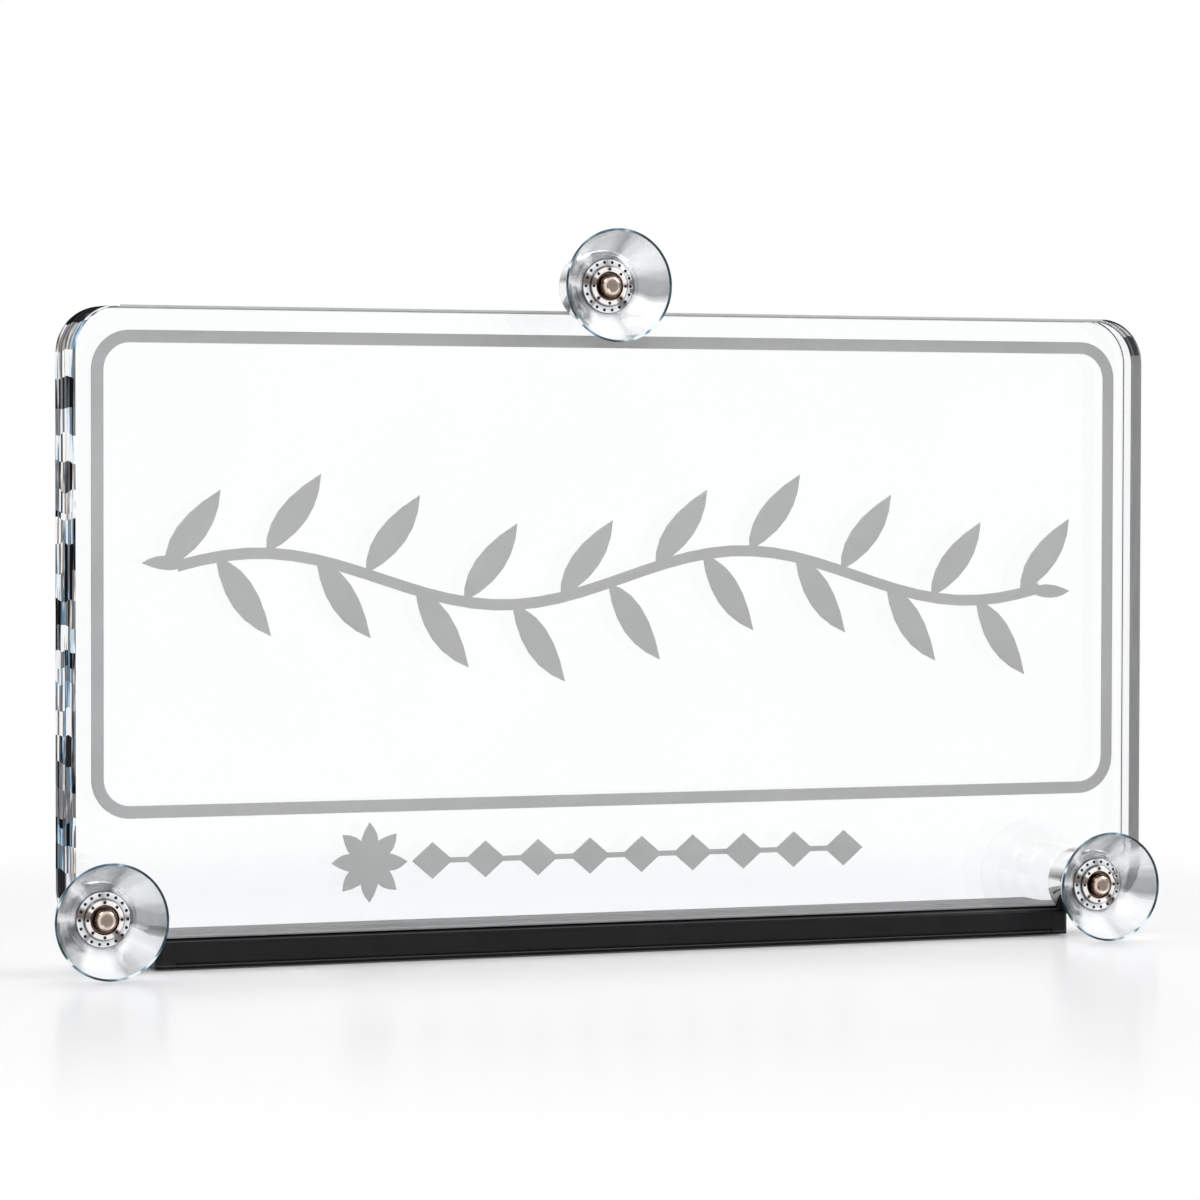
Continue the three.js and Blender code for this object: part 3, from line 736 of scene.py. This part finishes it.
# %% Plates
front, back = box_depths("front_plate")
front_plate = new_piece(
    "clear_front_plate", plate_mesh(front, back - SEAM), acrylic, "front_plate"
)
front, back = box_depths("rear_plate")
mesh = plate_mesh(front, back)
for side in (-1, 1):
    bmesh.ops.bisect_plane(
        mesh, geom=[*mesh.verts, *mesh.edges, *mesh.faces],
        plane_co=(side * TONGUE_LENGTH / 2, 0, 0), plane_no=(1, 0, 0),
    )
foot = [
    f for f in mesh.faces
    if f.normal.z < -0.9 and abs(f.calc_center_median().x) < TONGUE_LENGTH / 2
]
pulled = bmesh.ops.extrude_face_region(mesh, geom=foot)["geom"]
bmesh.ops.delete(mesh, geom=foot, context="FACES_ONLY")
bmesh.ops.translate(
    mesh, vec=(0, 0, -TONGUE_DEPTH),
    verts=[v for v in pulled if isinstance(v, bmesh.types.BMVert)],
)
rear_plate = new_piece("clear_rear_plate", mesh, acrylic, "rear_plate")
for plate in (front_plate, rear_plate):
    plate.visible_shadow = False
    shade_by_angle(plate, PLATE_CRISP_ANGLE)
    plate.data.materials.append(edge_with_painted_reflection)
    for face in plate.data.polygons:
        clear_side = plate == rear_plate and face.normal.x > 0.1
        is_edge = abs(face.normal.y) < FACES_FRONT_OR_BACK
        face.material_index = int(is_edge and not clear_side)

# %% [markdown]
# ## Round pieces
# A cup, its barrel, its collar and its nut are round, so each is an outline spun about one axis.
# The outline is given as pairs: the distance from the axis, and the distance in front of the
# panel, both in millimetres. A station is the place of an axis on the panel, in millimetres too.


# %% Spin an outline
STATIONS = {"top": (-13.3, 201.7), "left": (-169.8, 17.1), "right": (153.0, 17.1)}
PANEL_FRONT = -20.0


def spun(outline, place, steps):
    """Spins a closed outline about the station's axis, which points at the viewer."""
    x, z = place
    mesh = bmesh.new()
    points = [
        mesh.verts.new(Vector((x + radius, PANEL_FRONT - out, z)) * MM) for radius, out in outline
    ]
    edges = [mesh.edges.new((a, b)) for a, b in zip(points, points[1:] + points[:1])]
    bmesh.ops.spin(
        mesh, geom=[*points, *edges], cent=Vector((x, PANEL_FRONT, z)) * MM, axis=(0, -1, 0),
        angle=2 * math.pi, steps=steps, use_merge=True,
    )
    bmesh.ops.remove_doubles(mesh, verts=mesh.verts, dist=MERGED)
    store_round_place(mesh, place)
    return mesh


def store_round_place(mesh, place):
    """Keeps each point's direction from the axis, and its distance, for the finishes to read."""
    layers = mesh.verts.layers.float_vector
    layer = layers.get(ROUND_PLACE) or layers.new(ROUND_PLACE)
    for point in mesh.verts:
        away = Vector((point.co.x - place[0] * MM, point.co.z - place[1] * MM))
        direction = away.normalized() * FLOW_SPREAD
        point[layer] = (direction.x, direction.y, away.length / MM / REACH)


def soften(piece, levels):
    """A subdivision surface rounds the piece, the same in the view and in the render."""
    surface = piece.modifiers.new("surface", "SUBSURF")
    surface.levels = surface.render_levels = levels
    piece.data.shade_smooth()


# %% [markdown]
# ## Suction cups
# The outside of the bowl widens in two bends from the boss to the rim, and the inside follows it at
# an even wall. Pairs of close points keep the rim and the boss crisp when the surface is softened.

# %% Cups
CUP_OUTLINE = [
    (2.2, 10.5), (2.2, 10.7), (2.2, 11.8), (2.2, 12), (4.5, 12), (8.7, 12), (9.3, 12.4),
    (12.44, 14.87), (14.82, 18.09), (15.75, 20.1), (16.4, 21.8), (16.5, 22), (16.9, 22),
    (17, 21.85), (17, 21.3), (16.1, 19), (14.96, 16.48), (12.58, 13.26), (10.35, 11.2),
    (10.2, 10.75), (9.9, 10.5), (5, 10.5),
]
LIP_START = 16.4
LIP_DEPTH = 21.4
CUP_STEPS = 64
for name, place in STATIONS.items():
    cup = new_piece(
        f"vinyl_cup_{name}", spun(CUP_OUTLINE, place, CUP_STEPS), vinyl, f"cup_{name}"
    )
    cup.visible_shadow = False
    soften(cup, 1)
    cup.data.materials.append(lip_painted_refraction)
    axis = Vector((place[0], place[1])) * MM
    for face in cup.data.polygons:
        away = (Vector((face.center.x, face.center.z)) - axis).length
        forwards = PANEL_FRONT * MM - face.center.y
        face.material_index = int(away > LIP_START * MM and forwards > LIP_DEPTH * MM)

# %% [markdown]
# ## Barrels
# Behind each cup a polished barrel is glued to the panel. Its rims are rounded, and its side shows
# bright and dark bands of painted reflection to the left of the cup. A blind hole in its front
# holds the stud.

# %% Barrels
BARREL_OUTLINE = [
    (0, 0.3), (10.6, 0.3), (10.88, 0.42), (11, 0.7), (11, 10), (10.88, 10.28), (10.6, 10.4),
    (2.25, 10.4), (2.25, 3.4), (0, 3.4),
]
BARREL_STEPS = 96
BARREL_CRISP_ANGLE = 28
for name, place in STATIONS.items():
    barrel = new_piece(
        f"chrome_barrel_{name}", spun(BARREL_OUTLINE, place, BARREL_STEPS), barrel_chrome,
        f"barrel_{name}",
    )
    shade_by_angle(barrel, BARREL_CRISP_ANGLE)

# %% [markdown]
# ## Collars
# A chrome collar in two steps holds the cup on its stud. Each step has a ring of small dark holes
# for the key that tightens it, and a groove runs round the nut in the middle. Painted dots would
# look flat from the side, so the holes are cut with pins whose black rubber finish stays on their
# walls, as painted shade inside the holes.

# %% Collars
COLLAR_OUTLINE = [
    (2.25, 12.1), (8.1, 12.1), (8.3, 12.25), (8.3, 12.62), (8.2, 12.87), (7.95, 13), (6.25, 13),
    (6, 13.1), (6, 13.78), (5.9, 14.06), (5.62, 14.2), (4.35, 14.2), (4.1, 14), (4, 13.5),
    (3.6, 13.5), (3.5, 14.2), (2.25, 14.2),
]
# How many holes, the radius of their ring and how far out its face lies.
KEY_HOLES = [(8, 5.1, 14.2), (18, 7.2, 13)]
KEY_HOLE_RADIUS = 0.48
KEY_HOLE_DEPTH = 0.6
KEY_HOLE_SIDES = 16
COLLAR_STEPS = 72
COLLAR_CRISP_ANGLE = 30


def key_hole_cutter(place):
    """Two rings of short pins, which are cut out of the collar's faces."""
    mesh = bmesh.new()
    for count, circle, out in KEY_HOLES:
        for number in range(count):
            angle = 2 * math.pi * number / count
            middle = Vector((
                place[0] + circle * math.cos(angle),
                PANEL_FRONT - out,
                place[1] + circle * math.sin(angle),
            )) * MM
            turned = Matrix.Translation(middle) @ Matrix.Rotation(math.pi / 2, 4, "X")
            bmesh.ops.create_cone(
                mesh, cap_ends=True, segments=KEY_HOLE_SIDES, radius1=KEY_HOLE_RADIUS * MM,
                radius2=KEY_HOLE_RADIUS * MM, depth=2 * KEY_HOLE_DEPTH * MM, matrix=turned,
            )
    # The pin walls take the collar's second finish, black rubber: painted shade inside the holes.
    for face in mesh.faces:
        face.material_index = 1
    return new_object("key_holes", mesh)


def cut(piece, cutter, place):
    """Cuts one mesh out of another, keeps the result and removes the cutter."""
    boolean = piece.modifiers.new("cut", "BOOLEAN")
    boolean.operation = "DIFFERENCE"
    boolean.object = cutter
    bpy.context.view_layer.update()
    evaluated = piece.evaluated_get(bpy.context.evaluated_depsgraph_get())
    data = bpy.data.meshes.new_from_object(evaluated)
    piece.modifiers.clear()
    mesh = bmesh.new()
    mesh.from_mesh(data)
    store_round_place(mesh, place)
    mesh.to_mesh(data)
    mesh.free()
    piece.data = data
    bpy.data.objects.remove(cutter)


for name, place in STATIONS.items():
    collar = new_piece(
        f"chrome_collar_{name}", spun(COLLAR_OUTLINE, place, COLLAR_STEPS), collar_metal,
        f"collar_{name}",
    )
    # Black rubber for the key-hole walls, painted shade inside the holes.
    collar.data.materials.append(rubber)
    cut(collar, key_hole_cutter(place), place)
    shade_by_angle(collar, COLLAR_CRISP_ANGLE)

# %% [markdown]
# ## Domed nuts
# A small bronze nut with a flat top closes each stud. Its dome is part of the spun outline, which
# shows the same from all sides, and its colour has rings of painted reflection: a bright ring on
# the dome, darker towards the rim.

# %% Nuts
NUT_OUTLINE = [
    (2.25, 14.35), (3.25, 14.35), (3.4, 14.5), (3.4, 15.1), (3.28, 15.6), (2.9, 16.05),
    (2.4, 16.32), (1.95, 16.4), (1.75, 16.3), (0, 16.25), (0, 15.7), (2.25, 15.7),
]
NUT_STEPS = 64
NUT_CRISP_ANGLE = 32
for name, place in STATIONS.items():
    nut = new_piece(
        f"domed_nut_{name}", spun(NUT_OUTLINE, place, NUT_STEPS), nut_bronze,
        f"cap_nut_{name}",
    )
    shade_by_angle(nut, NUT_CRISP_ANGLE)

# %% [markdown]
# ## Floor
# The floor is glossy white, so it carries a soft mirror image and a faint shadow of the sign. Away
# from the sign it turns into a plain white sweep. A bent backdrop would do that too, but a blend
# by distance leaves no far edge in any view.

# %% Floor
FLOOR_SIZE = 12
SHADOW_REACH = 0.22
FLOOR_GLOW = 0.10
MIRROR_SHARE = 0.30


def empty_finish(name):
    """A new material without a shader, a wire to add one with and the socket that takes it."""
    material = bpy.data.materials.new(name)
    material.use_nodes = True
    nodes = material.node_tree.nodes
    nodes.remove(nodes["Principled BSDF"])
    return material, Wire(material.node_tree), nodes["Material Output"].inputs["Surface"]


mesh = bmesh.new()
bmesh.ops.create_grid(mesh, x_segments=1, y_segments=1, size=FLOOR_SIZE / 2)
floor = new_object("floor", mesh)
material, wire, surface = empty_finish("white_floor")
matt = wire.add("ShaderNodeBsdfDiffuse", {"Color": (0.80, 0.80, 0.81, 1)})
glow = wire.add("ShaderNodeEmission", {"Strength": FLOOR_GLOW})
lit = wire.add("ShaderNodeAddShader", {0: matt, 1: glow})
mirror = wire.add("ShaderNodeBsdfGlossy", {"Roughness": 0.2})
polished = wire.add("ShaderNodeMixShader", {0: MIRROR_SHARE, 1: lit, 2: mirror})
backdrop = wire.add("ShaderNodeEmission", {"Strength": 1.0})
distance = wire.add(
    "ShaderNodeVectorMath", {0: wire.add("ShaderNodeTexCoord", output=3)}, 1, operation="LENGTH"
)
far = wire.add(
    "ShaderNodeMapRange",
    {"Value": distance, "From Min": SHADOW_REACH, "From Max": 2 * SHADOW_REACH},
    interpolation_type="SMOOTHSTEP",
)
sweep = wire.add("ShaderNodeMixShader", {0: far, 1: polished, 2: backdrop})
wire.tree.links.new(sweep.socket, surface)
floor.data.materials.append(material)
print("floor is", FLOOR_SIZE, "metres wide")

# %% [markdown]
# ## White surroundings
# The world is white for the camera, for reflections and through clear pieces, and dimmer as a
# light. Stronger lamps would also make the background white, but would bleach the sign.

# %% World
world = bpy.data.worlds.new("white_studio")
world.use_nodes = True
bpy.context.scene.world = world
tree = world.node_tree
wire = Wire(tree)
rays = wire.add("ShaderNodeLightPath")
seen = rays
for output in ("Is Glossy Ray", "Is Transmission Ray"):
    seen = wire.math("MAXIMUM", seen, rays.other_output(output))
AMBIENT = 0.62
background = tree.nodes["Background"].inputs
tree.links.new((seen * (1 - AMBIENT) + AMBIENT).socket, background["Strength"])
background["Color"].default_value = (1, 1, 1, 1)
print("world lights at", AMBIENT, "and shows white")

# %% [markdown]
# ## Lamps
# Three soft square lamps give shape: a key from the left, a weaker fill from the right and one from
# behind. Large lamps are softer than small ones, so no hard shadow falls on the white floor.


# %% Lamps
SIGN_MIDDLE = Vector((0, 0, 0.1))


def lamp(name, place, size, power):
    """A square soft lamp that faces the middle of the sign."""
    light = bpy.data.lights.new(name, "AREA")
    light.size = size
    light.energy = power
    holder = bpy.data.objects.new(name, light)
    holder.location = place
    aim = SIGN_MIDDLE - Vector(place)
    holder.rotation_euler = aim.to_track_quat("-Z", "Y").to_euler()
    bpy.context.scene.collection.objects.link(holder)
    print(name, power, "watts")


lamp("key_lamp", (-0.9, -1.1, 1.5), 0.9, 14)
lamp("fill_lamp", (1.2, -0.9, 1.0), 0.8, 7)
lamp("back_lamp", (0.3, 1.3, 1.3), 0.9, 8)


# %% [markdown]
# ## Dark cards
# Clear and polished things only show by what they mirror, and a white room shows them nothing. So
# photographers stand dark cards out of view. Here they are flat squares that only reflections and
# clear pieces see, and they draw grey bands in the cups and the metal.


# %% Cards
def card(name, place, size, tone):
    """A flat card that only shows in reflections and through clear things."""
    mesh = bmesh.new()
    bmesh.ops.create_grid(mesh, x_segments=1, y_segments=1, size=0.5)
    bmesh.ops.scale(mesh, vec=(*size, 1), verts=mesh.verts)
    aim = (SIGN_MIDDLE - Vector(place)).to_track_quat("Z", "Y").to_matrix().to_4x4()
    bmesh.ops.transform(mesh, matrix=Matrix.Translation(place) @ aim, verts=mesh.verts)
    holder = new_object(name, mesh)
    material, wire, surface = empty_finish(name)
    shade = wire.add("ShaderNodeEmission", {"Color": (tone, tone, tone, 1)})
    wire.tree.links.new(shade.socket, surface)
    holder.data.materials.append(material)
    holder.visible_camera = holder.visible_diffuse = holder.visible_shadow = False


card("card_left", (-1.9, -0.5, 0.5), (0.8, 1.6), 0.05)
card("card_right", (1.8, -1.2, 0.4), (0.5, 1.4), 0.10)
card("card_above", (-0.2, -0.9, 1.9), (1.1, 0.35), 0.12)
card("card_behind_left", (-1.5, 1.4, 0.5), (0.35, 1.5), 0.05)
card("card_behind_right", (1.9, 0.8, 0.4), (0.6, 1.5), 0.05)
